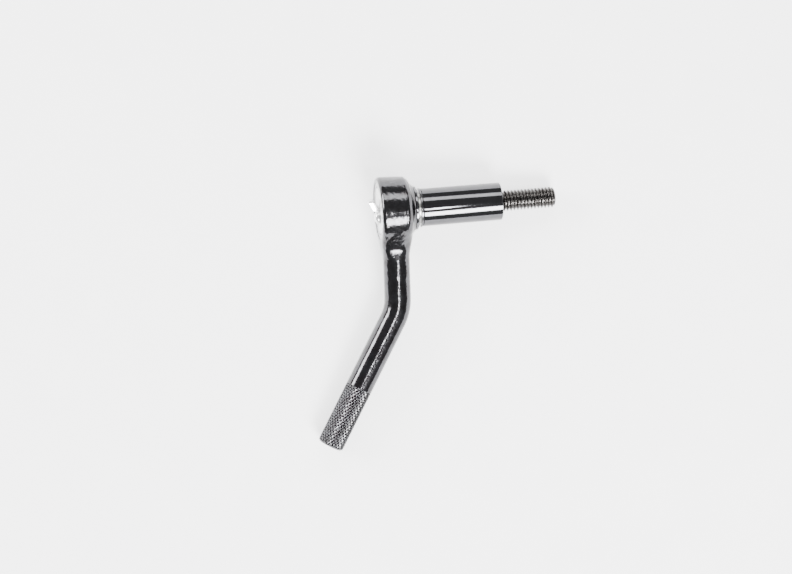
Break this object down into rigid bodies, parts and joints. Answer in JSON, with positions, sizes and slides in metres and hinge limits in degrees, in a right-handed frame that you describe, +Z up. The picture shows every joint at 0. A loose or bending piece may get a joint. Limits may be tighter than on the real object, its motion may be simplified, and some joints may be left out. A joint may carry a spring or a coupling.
{
  "type": "ratchet crank handle",
  "caption": "Reversible ratchet handle with a bent knurled grip, a turned chrome sleeve on its spindle and a coarse threaded stud.",
  "frame": {"origin": "on the bench surface, at the middle of the lying part's box", "axes": "+Z up from the bench; +X the way the threaded stud points, seen from above; the handle leaves the head towards -Y. The part lies on its head rim, the sleeve's end edge and the grip end, so the spindle dips 8.2 degrees towards the stud"},
  "size_m": [0.1172, 0.1228, 0.0317],
  "materials": {
    "forged_chrome": "bright chrome over a slightly uneven forging",
    "polished_chrome": "bright chrome on a turned sleeve",
    "turned_chrome": "bright chrome with fine turning marks",
    "satin_chrome": "satin chrome",
    "spring_steel": "bright spring steel",
    "plain_steel": "ground steel, lightly oiled",
    "dark_stud": "dark oxide on rolled thread"
  },
  "bodies": {
    "handle": {"ratchet_handle": "forged_chrome", "journal_bush": "turned_chrome", "thrust_washer": "plain_steel", "retaining_ring": "spring_steel"},
    "spindle": {"drive_spindle": "plain_steel", "cover_plate": "satin_chrome", "pawl_pin": "plain_steel", "tang_ball": "plain_steel", "tang_spring": "spring_steel", "spacer_washer": "turned_chrome", "extension_sleeve": "polished_chrome", "threaded_stud": "dark_stud"},
    "pawl": {"pawl": "plain_steel"},
    "selector": {"selector_shaft": "satin_chrome", "reversing_lever": "satin_chrome", "plunger_spring": "spring_steel"},
    "plunger": {"pawl_plunger": "plain_steel"}
  },
  "joints": [
    {"name": "spindle_turn", "type": "hinge", "parent": "handle", "child": "spindle", "pos_m": [-0.01483, 0.04595, 0.01539], "axis": [0.9898, 0, -0.1425], "continuous": true},
    {"name": "selector_swing", "type": "hinge", "parent": "spindle", "child": "selector", "pos_m": [-0.01785, 0.04317, 0.01543], "axis": [0.9898, 0, -0.1425], "range_deg": [-20, 20]},
    {"name": "pawl_rock", "type": "hinge", "parent": "spindle", "child": "pawl", "pos_m": [-0.01647, 0.03793, 0.01448], "axis": [0.9898, 0, -0.1425], "range_deg": [-12.5, 12.5]},
    {"name": "plunger_press", "type": "slide", "parent": "selector", "child": "plunger", "axis": [0.0199, 0.9902, 0.1383], "range_m": [0, 0.00035], "stiffness_N_per_m": 400}
  ],
  "couplings": [
    {"joint": "pawl_rock", "follows": "selector_swing", "ratio": -0.6}
  ]
}
